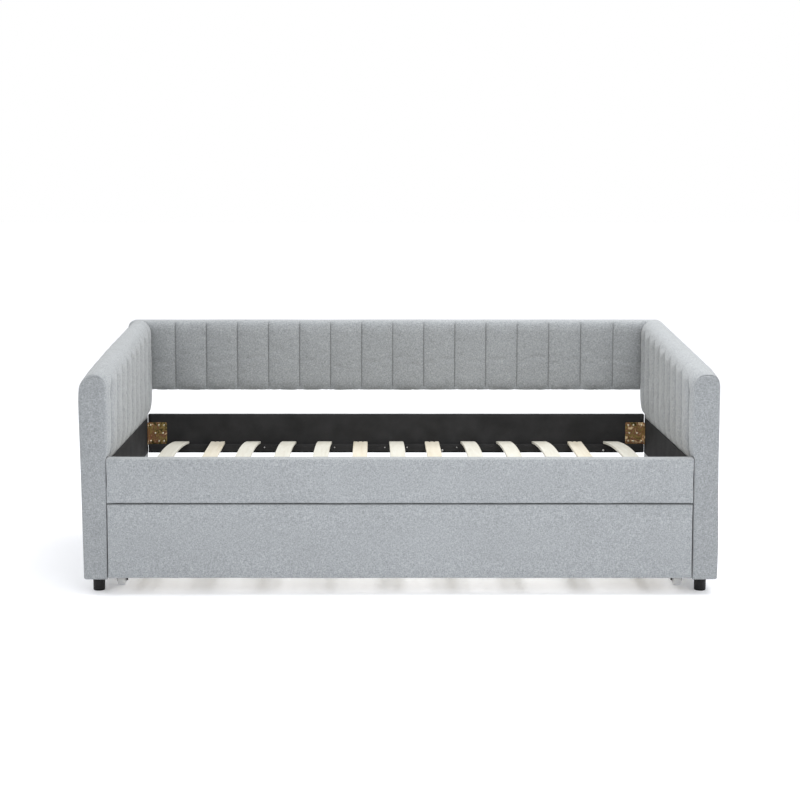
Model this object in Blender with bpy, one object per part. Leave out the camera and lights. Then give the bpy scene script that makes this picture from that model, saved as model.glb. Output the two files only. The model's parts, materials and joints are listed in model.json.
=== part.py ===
"""Upholstered trundle bed: a daybed with a second bed that rolls out from under it.

Metres, +Z up. X runs along the bed, the front is at -Y and the floor is z = 0.
The origin is on the floor, under the middle of the bed. "Depth" is the distance
behind the front plane, so y = depth - DEPTH / 2, and "reach" is the distance from
the middle of the bed, |x|.
"""
import math

import bmesh
import bpy

GAP = 0.0003            # clearance between pieces that touch

# Overall size
LENGTH = 2.10
DEPTH = 1.135
REST_HEIGHT = 0.0515    # underside of the arms' upholstery

# Arms
ARM_DEPTH = 1.065
ARM_CORE_REACH = (0.984, 1.026)
ARM_CORE_BOTTOM = 0.0523
ARM_CORE_REAR = ARM_DEPTH - 0.003
ARM_TOP_PADDING = 0.026
ARM_OUTER_LOW = 1.0453
ARM_OUTER_HIGH = LENGTH / 2
ARM_INNER_LOW = 0.9660
ARM_INNER_SEAM = 0.9645
ARM_PAD_BOTTOM = 0.4585
ARM_PAD_BULGE = 0.0180
ARM_TOP_RISE = 0.050    # height of the rounded top over its springing line
CREST_FRONT = 0.7305
CREST_SHOULDER = 0.012
CREST_SLOPE = 0.0725
LINING_REACH = (0.9592, 0.9640)
LINING_Z = (0.3086, 0.4445)
LINING_REAR = 1.030

# Feet
FOOT_RADIUS = 0.020
FOOT_HEIGHT = 0.052
FOOT_STUD_RADIUS = 0.004
FOOT_STUD_LENGTH = 0.024
FOOT_REACH = 1.005
FOOT_DEPTHS = (0.080, 0.985)

# Back panel
BACK_DEPTHS = (ARM_DEPTH + GAP, DEPTH)
BACK_REACH = 1.0385
BACK_Z = (0.550, 0.8185)
BACK_CORNER = 0.028
BACK_BOARD_DEPTH = 1.100
BACK_RIM = 0.020
BACK_COVER_THICKNESS = 0.002

# Bed rails and their cleats
RAIL_REACH = 0.9625
RAIL_Z = (0.3068, 0.4570)
RAIL_THICKNESS = 0.040
PADDING = 0.012
BACK_RAIL_DEPTHS = (1.035, 1.060)
BACK_RAIL_REACH = 0.9600    # the back rail stops short of the arms
CLEAT_REACH = 0.957
CLEAT_Z = (0.315, 0.342)
CLEAT_THICKNESS = 0.022

# Corner plates between rails and arms
PLATE_THICKNESS = 0.0022
PLATE_Z = (0.3426, 0.4265)
PLATE_INNER_REACH = 0.887
PLATE_OUTER_REACH = LINING_REACH[0] - GAP
PLATE_RETURN = 0.030
PLATE_CORNER = ((0.0, 0.0040), (0.0012, 0.0016), (0.0040, 0.0))    # (rise, inset) from each edge

# Bed slats
SLAT_COUNT = 13
SLAT_PITCH = 0.138
SLAT_WIDTH = 0.055
SLAT_THICKNESS = 0.010
SLAT_ARCH = 0.034
SLAT_DEPTHS = (0.044, 1.031)
STRAIGHT_SLATS = (2, 6, 8, 12)

# Trundle
TRUNDLE_Z = (0.0548, 0.3040)
TRUNDLE_SIDE_REACH = (0.925, 0.955)
TRUNDLE_SIDE_Z = (0.0625, 0.155)
TRUNDLE_BACK_DEPTHS = (1.030, 1.050)
TRUNDLE_CLEAT_Z = (0.075, 0.100)
TRUNDLE_CLEAT_THICKNESS = 0.020
TRUNDLE_SLAT_COUNT = 9
TRUNDLE_SLAT_PITCH = 0.205
TRUNDLE_SLAT_WIDTH = 0.060
TRUNDLE_SLAT_THICKNESS = 0.012

# Wheels and their forks
WHEEL_RADIUS = 0.020
WHEEL_WIDTH = 0.025
WHEEL_REACH = 0.9395
WHEEL_DEPTHS = (0.150, 0.930)
AXLE_RADIUS = 0.003
BORE_CLEARANCE = 0.0004
FORK_THICKNESS = 0.002
FORK_LENGTH = 0.034
FORK_INNER_WIDTH = 0.028
NUT_RADIUS = 0.0048
NUT_LENGTH = 0.004

GREY_FABRIC = (0.41, 0.43, 0.45)
BLACK_FABRIC = (0.030, 0.030, 0.032)
PALE_WOOD = (0.86, 0.83, 0.70)
BOARD_WOOD = (0.55, 0.42, 0.27)
BRONZE = (0.13, 0.09, 0.055)
STEEL = (0.55, 0.55, 0.56)
BLACK_PLASTIC = (0.012, 0.012, 0.013)
CLEAR_PLASTIC = (0.70, 0.71, 0.72)


# ---------------------------------------------------------------- helpers

def y_at(depth):
    """World y of a point that lies this far behind the front plane."""
    return depth - DEPTH / 2


def start_clean():
    for leftover in list(bpy.data.objects):
        bpy.data.objects.remove(leftover, do_unlink=True)


def material(name, colour, roughness, metallic=0.0):
    finish = bpy.data.materials.new(name)
    finish.use_nodes = True
    shader = finish.node_tree.nodes["Principled BSDF"]
    shader.inputs["Base Color"].default_value = (*colour, 1.0)
    shader.inputs["Roughness"].default_value = roughness
    shader.inputs["Metallic"].default_value = metallic
    return finish


def add_object(name, bm, finish, location=(0.0, 0.0, 0.0)):
    bmesh.ops.recalc_face_normals(bm, faces=bm.faces)
    mesh = bpy.data.meshes.new(name)
    bm.to_mesh(mesh)
    bm.free()
    if finish:
        mesh.materials.append(finish)
    piece = bpy.data.objects.new(name, mesh)
    piece.location = location
    bpy.context.scene.collection.objects.link(piece)
    return piece


def block(name, x, depth, z, finish, edge=0.0):
    """A board given by its (low, high) extents along X, depth and Z."""
    bm = bmesh.new()
    bmesh.ops.create_cube(bm, size=1.0)
    for vert in bm.verts:
        vert.co.x = x[vert.co.x > 0]
        vert.co.y = y_at(depth[vert.co.y > 0])
        vert.co.z = z[vert.co.z > 0]
    piece = add_object(name, bm, finish)
    if edge:
        soften(piece, edge)
    return piece


def soften(piece, width, segments=1):
    bevel = piece.modifiers.new("edges", "BEVEL")
    bevel.width = width
    bevel.segments = segments
    bevel.limit_method = "ANGLE"
    bevel.angle_limit = math.radians(50)


def loft(name, rings, finish, location=(0.0, 0.0, 0.0)):
    """A closed solid through rings of points, with its two end rings filled."""
    bm = bmesh.new()
    loops = [[bm.verts.new(point) for point in ring] for ring in rings]
    for low, high in zip(loops, loops[1:]):
        for i in range(len(low)):
            j = (i + 1) % len(low)
            bm.faces.new((low[i], low[j], high[j], high[i]))
    bm.faces.new(reversed(loops[0]))
    bm.faces.new(loops[-1])
    return add_object(name, bm, finish, location)


def turned(name, outline, finish, axis, location, steps=32, bored=False):
    """A turned solid. Its outline is a list of (distance along the axis, radius).

    A bored piece's outline is a closed loop; any other starts and ends on the axis.
    """
    bm = bmesh.new()
    rows = []
    for along, radius in outline:
        count = steps if radius > 0 else 1
        row = []
        for i in range(count):
            turn = 2 * math.pi * i / steps
            across, up = radius * math.cos(turn), radius * math.sin(turn)
            row.append(bm.verts.new((along, across, up) if axis == "X" else (across, up, along)))
        rows.append(row)
    pairs = list(zip(rows, rows[1:]))
    if bored:
        pairs.append((rows[-1], rows[0]))
    for first, second in pairs:
        for i in range(steps):
            j = (i + 1) % steps
            corners = [first[i % len(first)], first[j % len(first)],
                       second[j % len(second)], second[i % len(second)]]
            bm.faces.new(list(dict.fromkeys(corners)))
    piece = add_object(name, bm, finish, location)
    piece.data.shade_smooth()
    piece.data.set_sharp_from_angle(angle=math.radians(40))
    return piece


def apply_tool(piece, tool, operation):
    boolean = piece.modifiers.new(operation.lower(), "BOOLEAN")
    boolean.operation = operation
    boolean.solver = "EXACT"
    boolean.object = tool
    tool.hide_render = True
    tool.display_type = "WIRE"


def cut(piece, tool):
    apply_tool(piece, tool, "DIFFERENCE")


def join(piece, tool):
    apply_tool(piece, tool, "UNION")


# ---------------------------------------------------------------- arms

def crest(depth):
    """Height of the arm's rounded top: a soft shoulder, then a steady rise to the back."""
    return CREST_FRONT + CREST_SHOULDER * (1 - math.exp(-depth / 0.04)) + CREST_SLOPE * depth


def arm_section(side, depth, bulge, inset):
    """The arm's outline across the bed: outer side up, over the top and down the inner side."""
    top = crest(depth) - inset
    spring = crest(depth) - ARM_TOP_RISE
    outer = ARM_OUTER_HIGH - inset
    inner = ARM_INNER_SEAM - bulge + inset
    middle = (outer + inner) / 2
    half = (outer - inner) / 2
    outline = [(ARM_OUTER_LOW - inset, REST_HEIGHT + inset), (outer, 0.62)]
    for step in range(9):
        turn = math.pi * step / 8
        outline.append((middle + half * math.cos(turn), spring + (top - spring) * math.sin(turn)))
    outline += [
        (inner, 0.60),
        (inner + 0.30 * bulge, 0.52),
        (ARM_INNER_SEAM - 0.35 * bulge + inset, 0.485),
        (ARM_INNER_SEAM + inset, ARM_PAD_BOTTOM),
        (ARM_INNER_LOW + inset, REST_HEIGHT + inset),
    ]
    return [(side * reach, y_at(depth), z) for reach, z in outline]


def arm_core_outline(margin, overrun):
    """Side view of the timber core, grown by margin; overrun opens the bottom and the rear."""
    front = 0.020 - margin
    rear = ARM_CORE_REAR + overrun
    bottom = ARM_CORE_BOTTOM - overrun
    top_front = crest(0.020) - ARM_TOP_PADDING + margin
    top_rear = crest(ARM_DEPTH) - ARM_TOP_PADDING + margin + overrun * CREST_SLOPE
    return [(front, bottom), (rear, bottom), (rear, top_rear), (front, top_front)]


def arm_core_solid(name, side, margin, overrun, finish):
    low, high = ARM_CORE_REACH
    outline = arm_core_outline(margin, overrun)
    rings = [[(side * reach, y_at(depth), z) for depth, z in outline]
             for reach in (low - margin, high + margin)]
    return loft(name, rings, finish)


def foot(name, side, depth, finish):
    outline = [
        (0.0, 0.0), (0.0, FOOT_RADIUS - 0.0025), (0.0008, FOOT_RADIUS - 0.0010),
        (0.0025, FOOT_RADIUS - 0.0003), (FOOT_HEIGHT - 0.006, FOOT_RADIUS - 0.0003),
        (FOOT_HEIGHT - 0.005, FOOT_RADIUS), (FOOT_HEIGHT, FOOT_RADIUS),
        (FOOT_HEIGHT, FOOT_STUD_RADIUS), (FOOT_HEIGHT + FOOT_STUD_LENGTH, FOOT_STUD_RADIUS),
        (FOOT_HEIGHT + FOOT_STUD_LENGTH, 0.0),
    ]
    return turned(name, outline, finish, "Z", (side * FOOT_REACH, y_at(depth), 0.0))


def stud_hole(name, side, depth):
    radius = FOOT_STUD_RADIUS + GAP
    top = ARM_CORE_BOTTOM + FOOT_STUD_LENGTH + 2 * GAP
    outline = [(FOOT_HEIGHT - 0.01, 0.0), (FOOT_HEIGHT - 0.01, radius), (top, radius), (top, 0.0)]
    return turned(name, outline, None, "Z", (side * FOOT_REACH, y_at(depth), 0.0))


def build_arm(side, label, grey, black, wood, plastic):
    rings = [arm_section(side, 0.0, 0.0, 0.005)]
    for depth in (0.006, 0.022, 0.05, 0.10, 0.30, 0.60, 0.90, ARM_DEPTH):
        bulge = ARM_PAD_BULGE * (1 - math.exp(-depth / 0.025))
        rings.append(arm_section(side, depth, bulge, 0.0))
    cover = loft(f"{label}_arm_upholstery", rings, grey)
    cut(cover, arm_core_solid(f"{label}_arm_pocket", side, GAP, 0.02, None))

    core = arm_core_solid(f"{label}_arm_core", side, 0.0, 0.0, wood)
    for place, depth in zip(("front", "rear"), FOOT_DEPTHS):
        foot(f"{place}_{label}_foot", side, depth, plastic)
        cut(core, stud_hole(f"{place}_{label}_stud_hole", side, depth))

    reach = sorted(side * value for value in LINING_REACH)
    block(f"{label}_arm_lining", reach, (RAIL_THICKNESS + GAP, LINING_REAR), LINING_Z, black)


# ---------------------------------------------------------------- back panel

def rounded_frame(half_length, low, high, radius, depth):
    """A rectangle with round corners, standing across the bed at this depth."""
    points = []
    corners = ((half_length - radius, high - radius, 0.0), (-half_length + radius, high - radius, 0.5),
               (-half_length + radius, low + radius, 1.0), (half_length - radius, low + radius, 1.5))
    for x, z, quarter in corners:
        for step in range(6):
            turn = math.pi * (quarter + step / 10)
            points.append((x + radius * math.cos(turn), y_at(depth), z + radius * math.sin(turn)))
    return points


def build_back_panel(grey, wood):
    front, rear = BACK_DEPTHS
    half = BACK_REACH
    low, high = BACK_Z
    rings = []
    for depth, inset in ((front, 0.010), (front + 0.003, 0.003), (front + 0.010, 0.0),
                         (rear - 0.004, 0.0), (rear, 0.004)):
        radius = BACK_CORNER - inset
        rings.append(rounded_frame(half - inset, low + inset, high - inset, radius, depth))
    cover = loft("back_panel_upholstery", rings, grey)

    reach = half - BACK_RIM
    z = (low + BACK_RIM, high - BACK_RIM)
    pocket = block("back_panel_pocket", (-reach - GAP, reach + GAP),
                   (BACK_BOARD_DEPTH - GAP, rear + 0.01), (z[0] - GAP, z[1] + GAP), None)
    cut(cover, pocket)
    seam = rear - BACK_COVER_THICKNESS
    block("back_panel_board", (-reach, reach), (BACK_BOARD_DEPTH, seam - GAP), z, wood)
    block("back_panel_rear_cover", (-reach, reach), (seam, rear), z, grey)


# ---------------------------------------------------------------- bed rails and slats

def padded_front(label, z, cover_finish, board_finish):
    """A board in a padded cover that is open towards the bed."""
    depth = (0.0, RAIL_THICKNESS)
    cover = block(f"{label}_upholstery", (-RAIL_REACH, RAIL_REACH), depth, z, cover_finish)
    soften(cover, 0.006, 2)
    reach = RAIL_REACH - PADDING
    board_front = RAIL_THICKNESS - 0.022
    board_z = (z[0] + PADDING, z[1] - PADDING)
    pocket = block(f"{label}_pocket", (-reach - GAP, reach + GAP),
                   (board_front - GAP, RAIL_THICKNESS + 0.01),
                   (board_z[0] - GAP, board_z[1] + GAP), None)
    cut(cover, pocket)
    block(f"{label}_board", (-reach, reach), (board_front, RAIL_THICKNESS), board_z, board_finish)


def corner_plate(name, side, rail_face, inward, finish):
    """An angle plate: one leg on the rail's face, one leg along the arm."""
    outer = PLATE_OUTER_REACH
    levels = [(PLATE_Z[0] + rise, inset) for rise, inset in PLATE_CORNER]
    levels += [(PLATE_Z[1] - rise, inset) for rise, inset in reversed(PLATE_CORNER)]
    rings = []
    for z, inset in levels:
        inner = PLATE_INNER_REACH + inset
        end = PLATE_RETURN - inset
        legs = [(inner, 0.0), (outer, 0.0), (outer, end), (outer - PLATE_THICKNESS, end),
                (outer - PLATE_THICKNESS, PLATE_THICKNESS), (inner, PLATE_THICKNESS)]
        rings.append([(side * reach, y_at(rail_face + inward * (GAP + out)), z) for reach, out in legs])
    return loft(name, rings, finish)


def build_rails(grey, black, wood, bronze):
    padded_front("front_rail", RAIL_Z, grey, wood)
    inner, outer = BACK_RAIL_DEPTHS
    reach = (-BACK_RAIL_REACH, BACK_RAIL_REACH)
    block("back_rail_board", reach, (inner, outer), RAIL_Z, black)
    block("back_rail_cover", reach, (outer + GAP, ARM_DEPTH), RAIL_Z, grey)
    front_face = RAIL_THICKNESS + GAP
    rear_face = inner - GAP
    cleat = (-CLEAT_REACH, CLEAT_REACH)
    block("front_cleat", cleat, (front_face, front_face + CLEAT_THICKNESS), CLEAT_Z, wood, 0.001)
    block("rear_cleat", cleat, (rear_face - CLEAT_THICKNESS, rear_face), CLEAT_Z, black, 0.001)

    for side, label in ((-1, "left"), (1, "right")):
        corner_plate(f"front_{label}_corner_plate", side, RAIL_THICKNESS, 1, bronze)
        corner_plate(f"rear_{label}_corner_plate", side, inner, -1, bronze)


def slat(name, x, arch, finish):
    """A slat from the front cleat to the rear cleat, straight or sprung upwards."""
    front, rear = SLAT_DEPTHS
    steps = 16 if arch else 1
    bottom, top = [], []
    for step in range(steps + 1):
        part = step / steps
        rise = arch * 4 * part * (1 - part)
        depth = front + (rear - front) * part
        z = CLEAT_Z[1] + GAP + rise
        bottom.append((depth, z))
        top.append((depth, z + SLAT_THICKNESS))
    outline = bottom + top[::-1]
    rings = [[(edge, y_at(depth), z) for depth, z in outline]
             for edge in (x - SLAT_WIDTH / 2, x + SLAT_WIDTH / 2)]
    piece = loft(name, rings, finish)
    soften(piece, 0.0015)
    return piece


def build_slats(finish):
    for number in range(1, SLAT_COUNT + 1):
        x = SLAT_PITCH * (number - (SLAT_COUNT + 1) / 2)
        arch = 0.0 if number in STRAIGHT_SLATS else SLAT_ARCH
        slat(f"bed_slat_{number:02d}", x, arch, finish)


# ---------------------------------------------------------------- trundle

def build_trundle_frame(grey, wood, pale):
    padded_front("trundle_front", TRUNDLE_Z, grey, wood)
    inner, outer = TRUNDLE_SIDE_REACH
    front = RAIL_THICKNESS + GAP
    back, rear = TRUNDLE_BACK_DEPTHS
    for side, label in ((-1, "left"), (1, "right")):
        reach = sorted((side * inner, side * outer))
        block(f"trundle_{label}_rail", reach, (front, back - GAP), TRUNDLE_SIDE_Z, wood, 0.0015)
    block("trundle_back_rail", (-outer, outer), (back, rear), TRUNDLE_SIDE_Z, wood, 0.0015)

    cleat = (-inner + GAP, inner - GAP)
    thick = TRUNDLE_CLEAT_THICKNESS
    block("trundle_front_cleat", cleat, (front, front + thick), TRUNDLE_CLEAT_Z, wood, 0.001)
    block("trundle_rear_cleat", cleat, (back - GAP - thick, back - GAP), TRUNDLE_CLEAT_Z, wood, 0.001)

    low = TRUNDLE_CLEAT_Z[1] + GAP
    z = (low, low + TRUNDLE_SLAT_THICKNESS)
    for number in range(1, TRUNDLE_SLAT_COUNT + 1):
        x = TRUNDLE_SLAT_PITCH * (number - (TRUNDLE_SLAT_COUNT + 1) / 2)
        across = (x - TRUNDLE_SLAT_WIDTH / 2, x + TRUNDLE_SLAT_WIDTH / 2)
        block(f"trundle_slat_{number}", across, (front + 0.002, back - 0.0025), z, pale, 0.0015)


def wheel(name, centre, finish):
    """A solid wheel with a crowned tread; its origin is on its axle."""
    half = WHEEL_WIDTH / 2
    bore = AXLE_RADIUS + BORE_CLEARANCE
    outline = [
        (-half, bore), (-half, WHEEL_RADIUS - 0.0030), (-half + 0.0010, WHEEL_RADIUS - 0.0010),
        (-half + 0.0035, WHEEL_RADIUS), (half - 0.0035, WHEEL_RADIUS),
        (half - 0.0010, WHEEL_RADIUS - 0.0010), (half, WHEEL_RADIUS - 0.0030), (half, bore),
    ]
    return turned(name, outline, finish, "X", centre, steps=40, bored=True)


def fork(name, side, centre, finish):
    """A folded steel fork under the side rail, with the axle and its nut fixed in it."""
    inside = FORK_INNER_WIDTH / 2
    outside = inside + FORK_THICKNESS
    roof = TRUNDLE_SIDE_Z[0] - GAP - centre[2]
    foot_z = -0.0085
    profile = [
        (-outside, foot_z), (-inside, foot_z), (-inside, roof - FORK_THICKNESS),
        (inside, roof - FORK_THICKNESS), (inside, foot_z), (outside, foot_z),
        (outside, roof), (-outside, roof),
    ]
    rings = [[(across, along, up) for across, up in profile]
             for along in (-FORK_LENGTH / 2, FORK_LENGTH / 2)]
    piece = loft(name, rings, finish, centre)

    head = outside + 0.0015
    nut = outside + NUT_LENGTH
    outline = [
        (-nut, 0.0), (-nut, NUT_RADIUS), (-outside + 0.0005, NUT_RADIUS),
        (-outside + 0.0005, AXLE_RADIUS), (outside - 0.0005, AXLE_RADIUS),
        (outside - 0.0005, 0.0045), (head, 0.0035), (head, 0.0),
    ]
    outline = [(side * along, radius) for along, radius in outline]
    join(piece, turned(f"{name}_axle", outline, finish, "X", centre, steps=20))
    return piece


def build_wheels(plastic, steel):
    for side, label in ((-1, "left"), (1, "right")):
        for place, depth in zip(("front", "rear"), WHEEL_DEPTHS):
            centre = (side * WHEEL_REACH, y_at(depth), WHEEL_RADIUS)
            wheel(f"{place}_{label}_wheel", centre, plastic)
            fork(f"{place}_{label}_wheel_fork", side, centre, steel)


def main():
    start_clean()
    grey = material("grey_fabric", GREY_FABRIC, 0.9)
    black = material("black_lining", BLACK_FABRIC, 0.85)
    wood = material("board_wood", BOARD_WOOD, 0.6)
    pale = material("slat_wood", PALE_WOOD, 0.5)
    bronze = material("bronze_plate", BRONZE, 0.4, 1.0)
    steel = material("zinc_steel", STEEL, 0.35, 1.0)
    plastic = material("black_plastic", BLACK_PLASTIC, 0.4)
    clear = material("clear_plastic", CLEAR_PLASTIC, 0.3)

    build_arm(-1, "left", grey, black, wood, plastic)
    build_arm(1, "right", grey, black, wood, plastic)
    build_back_panel(grey, wood)
    build_rails(grey, black, wood, bronze)
    build_slats(pale)
    build_trundle_frame(grey, wood, pale)
    build_wheels(clear, steel)


main()
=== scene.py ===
"""The looks of the upholstered trundle bed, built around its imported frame.

Metres, +Z up, the bed's front at -Y. "Depth" is the distance behind the front plane
and "reach" the distance from the middle of the bed, |x|.
"""
import json
import math

import bmesh
import bpy
import numpy as np
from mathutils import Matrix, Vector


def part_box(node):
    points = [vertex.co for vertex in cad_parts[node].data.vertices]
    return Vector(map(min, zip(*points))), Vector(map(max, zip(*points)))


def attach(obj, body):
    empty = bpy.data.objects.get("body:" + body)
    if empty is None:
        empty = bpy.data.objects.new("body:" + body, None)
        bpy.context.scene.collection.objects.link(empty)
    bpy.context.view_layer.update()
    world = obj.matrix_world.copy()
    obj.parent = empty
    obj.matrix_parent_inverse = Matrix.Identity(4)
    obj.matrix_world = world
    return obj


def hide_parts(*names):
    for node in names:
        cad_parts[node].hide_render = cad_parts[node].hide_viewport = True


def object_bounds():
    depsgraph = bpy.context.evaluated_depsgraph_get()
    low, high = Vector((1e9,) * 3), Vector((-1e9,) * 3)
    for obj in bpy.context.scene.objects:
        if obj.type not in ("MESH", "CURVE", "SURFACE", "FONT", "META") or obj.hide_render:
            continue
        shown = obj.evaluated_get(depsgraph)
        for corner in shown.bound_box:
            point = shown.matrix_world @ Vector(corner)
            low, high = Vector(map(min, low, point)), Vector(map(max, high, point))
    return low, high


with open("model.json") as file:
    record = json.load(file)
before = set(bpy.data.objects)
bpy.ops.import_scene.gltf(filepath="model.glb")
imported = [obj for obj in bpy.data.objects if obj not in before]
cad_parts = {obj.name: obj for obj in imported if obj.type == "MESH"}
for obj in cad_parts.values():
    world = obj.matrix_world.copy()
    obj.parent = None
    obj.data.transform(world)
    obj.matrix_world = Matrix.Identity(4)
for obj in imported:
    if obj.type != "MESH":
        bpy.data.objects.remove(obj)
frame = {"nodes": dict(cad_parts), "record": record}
CAD_LOW, CAD_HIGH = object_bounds()
scene = bpy.context.scene
FRONT_Y = CAD_LOW.y


# ---- camera and light

CAMERA_DISTANCE, CAMERA_HEIGHT, CAMERA_TILT = 5.62, 1.3948, 84.0
LIGHTS = {      # location, aim, size and watts
    "top_light": ((1.1, 0.2, 3.2), (0.1, 0.0, 0.4), (3.6, 2.6), 88.0),
    "front_light": ((0.2, -2.5, 1.4), (0.1, -0.5, 0.25), (1.3, 0.9), 15.0),
    "left_light": ((-2.8, -0.1, 2.4), (-1.1, 0.0, 0.1), (1.8, 1.8), 11.0)}


def place_camera():
    """The bed seen from a little left of its middle and a little above it."""
    data = bpy.data.cameras.new("camera")
    data.sensor_width = 36.0
    data.lens = 78.14
    data.shift_x, data.shift_y = 0.0319, -0.0586
    data.clip_end = 100.0
    camera = bpy.data.objects.new("camera", data)
    camera.location = (-0.0839, FRONT_Y - CAMERA_DISTANCE, CAMERA_HEIGHT)
    camera.rotation_euler = (math.radians(CAMERA_TILT), 0.0, 0.0)
    scene.collection.objects.link(camera)
    scene.camera = camera


def area_light(name, location, aim, size, watts):
    data = bpy.data.lights.new(name, "AREA")
    data.shape = "RECTANGLE"
    data.size, data.size_y = size
    data.energy = watts
    light = bpy.data.objects.new(name, data)
    light.location = location
    direction = np.array(aim, float) - np.array(location, float)
    flat = math.hypot(direction[0], direction[1])
    light.rotation_euler = (math.atan2(flat, -direction[2]), 0.0,
                            math.atan2(direction[1], direction[0]) - math.pi / 2)
    scene.collection.objects.link(light)


def light_studio():
    world = bpy.data.worlds.new("studio")
    world.use_nodes = True
    backdrop = world.node_tree.nodes["Background"]
    backdrop.inputs["Color"].default_value = (1.0, 1.0, 1.0, 1.0)
    backdrop.inputs["Strength"].default_value = 1.0
    scene.world = world
    for name, settings in LIGHTS.items():
        area_light(name, *settings)
    scene.view_settings.view_transform = "Standard"
    scene.view_settings.look = "None"


# ---- materials

NOISE_LOW, NOISE_HIGH = 0.25, 0.75          # a noise hardly ever leaves this range
PAINTED_SEAM_SHADE = 0.42                       # how much of its colour a full painted shade takes away
FABRIC_DARK, FABRIC_LIGHT = (0.192, 0.205, 0.215), (0.385, 0.403, 0.417)
THREAD_SCALE, WEAVE_PERIOD = 400.0, 0.0021
VENEER_TONES = ((0.30, (0.54, 0.515, 0.435)), (0.52, (0.605, 0.59, 0.52)), (0.75, (0.65, 0.645, 0.59)))
SOLID_TONES = ((0.30, (0.62, 0.56, 0.43)), (0.52, (0.70, 0.65, 0.54)), (0.75, (0.74, 0.70, 0.60)))
BOARD_TONES = ((0.30, (0.55, 0.46, 0.35)), (0.50, (0.65, 0.57, 0.46)), (0.75, (0.72, 0.66, 0.56)))
PASSIVATE_TONES = ((0.36, (0.10, 0.075, 0.028)), (0.44, (0.37, 0.27, 0.10)), (0.51, (0.22, 0.10, 0.065)),
                   (0.58, (0.36, 0.20, 0.11)), (0.68, (0.92, 0.74, 0.44)))


class Surface:
    """A material under construction: short calls that add and join its nodes."""

    def __init__(self, name, roughness, metallic=0.0, **fixed):
        self.material = bpy.data.materials.new(name)
        self.material.use_nodes = True
        self.tree = self.material.node_tree
        self.shader = self.tree.nodes["Principled BSDF"]
        self.shader.inputs["Roughness"].default_value = roughness
        self.shader.inputs["Metallic"].default_value = metallic
        for socket, value in fixed.items():
            self.shader.inputs[socket.replace("_", " ")].default_value = value
        self.place = self.node("TexCoord").outputs["Object"]

    def node(self, kind, **settings):
        made = self.tree.nodes.new("ShaderNode" + kind)
        for key, value in settings.items():
            setattr(made, key, value)
        return made

    def link(self, source, target):
        if isinstance(source, (int, float)):
            target.default_value = source
        else:
            self.tree.links.new(source, target)

    def math(self, operation, a, b=0.0):
        made = self.node("Math", operation=operation)
        self.link(a, made.inputs[0])
        self.link(b, made.inputs[1])
        return made.outputs[0]

    def stretched(self, scale):
        """The object's own coordinates, multiplied by a scale along each axis."""
        mapping = self.node("Mapping")
        mapping.inputs["Scale"].default_value = scale
        self.link(self.place, mapping.inputs["Vector"])
        return mapping.outputs["Vector"]

    def noise(self, scale, detail=2.0, roughness=0.5, distortion=0.0):
        made = self.node("TexNoise")
        made.inputs["Scale"].default_value = 1.0
        made.inputs["Detail"].default_value = detail
        made.inputs["Roughness"].default_value = roughness
        made.inputs["Distortion"].default_value = distortion
        self.link(self.stretched(scale), made.inputs["Vector"])
        return made.outputs["Fac"]

    def ramp(self, factor, *stops):
        """A colour for each (position, colour) stop along the factor."""
        made = self.node("ValToRGB")
        elements = made.color_ramp.elements
        while len(elements) < len(stops):
            elements.new(1.0)
        for element, (position, colour) in zip(elements, stops):
            element.position = position
            element.color = (*colour, 1.0)
        self.link(factor, made.inputs["Fac"])
        return made.outputs["Color"]

    def shade(self, colour, factor):
        """The colour multiplied by a grey factor."""
        made = self.node("Mix", data_type="RGBA", blend_type="MULTIPLY")
        made.inputs["Factor"].default_value = 1.0
        self.link(colour, made.inputs["A"])
        self.link(factor, made.inputs["B"])
        return made.outputs["Result"]

    def spread(self, value, low, high):
        """A noise's usual range mapped onto low to high."""
        made = self.node("MapRange")
        self.link(value, made.inputs["Value"])
        made.inputs["From Min"].default_value = NOISE_LOW
        made.inputs["From Max"].default_value = NOISE_HIGH
        made.inputs["To Min"].default_value = low
        made.inputs["To Max"].default_value = high
        return made.outputs["Result"]

    def finish(self, colour, height=None, strength=0.3, distance=0.001, roughness=None):
        self.link(colour, self.shader.inputs["Base Color"])
        if roughness is not None:
            self.link(roughness, self.shader.inputs["Roughness"])
        if height is not None:
            bump = self.node("Bump")
            bump.inputs["Strength"].default_value = strength
            bump.inputs["Distance"].default_value = distance
            self.link(height, bump.inputs["Height"])
            self.link(bump.outputs["Normal"], self.shader.inputs["Normal"])
        return self.material


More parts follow.
